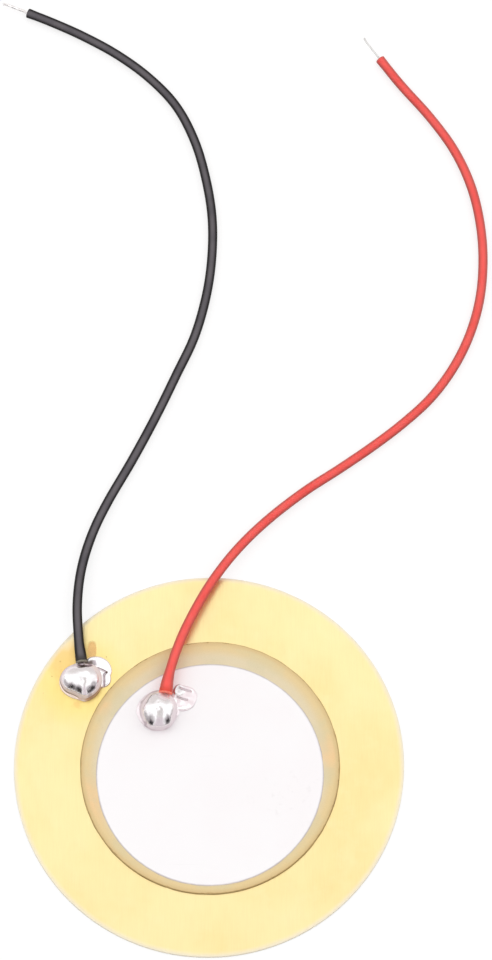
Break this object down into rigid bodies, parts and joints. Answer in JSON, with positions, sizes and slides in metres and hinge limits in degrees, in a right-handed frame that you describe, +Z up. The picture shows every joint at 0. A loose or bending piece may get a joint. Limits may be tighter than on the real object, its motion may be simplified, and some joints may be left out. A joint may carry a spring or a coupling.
{
  "type": "piezo disc",
  "caption": "Round piezo sounder element: a ceramic disc with silver electrodes on a larger brass plate, with a red and a black lead soldered on and bare tinned ends.",
  "frame": {"origin": "centre of the brass plate's underside, the face that it lies on", "axes": "+Z up out of the ceramic; +Y the way the leads leave; +X to the right, seen from above"},
  "size_m": [0.0467, 0.0939, 0.0025],
  "materials": {
    "brass": "thin rolled brass sheet, satin",
    "glue": "thin cured epoxy",
    "silver": "fired silver paste, matt",
    "ceramic": "fired piezo ceramic, matt",
    "solder": "bright tin solder",
    "black_pvc": "satin insulation",
    "red_pvc": "satin insulation",
    "tinned_wire": "tinned copper strands",
    "flux": "thin amber flux residue"
  },
  "bodies": {
    "root": {"brass_plate": "brass", "glue_layer": "glue", "back_electrode": "silver", "ceramic_disc": "ceramic", "front_electrode": "silver", "negative_solder": "solder", "positive_solder": "solder", "black_insulation": "black_pvc", "red_insulation": "red_pvc", "black_conductor": "tinned_wire", "red_conductor": "tinned_wire"}
  },
  "joints": []
}
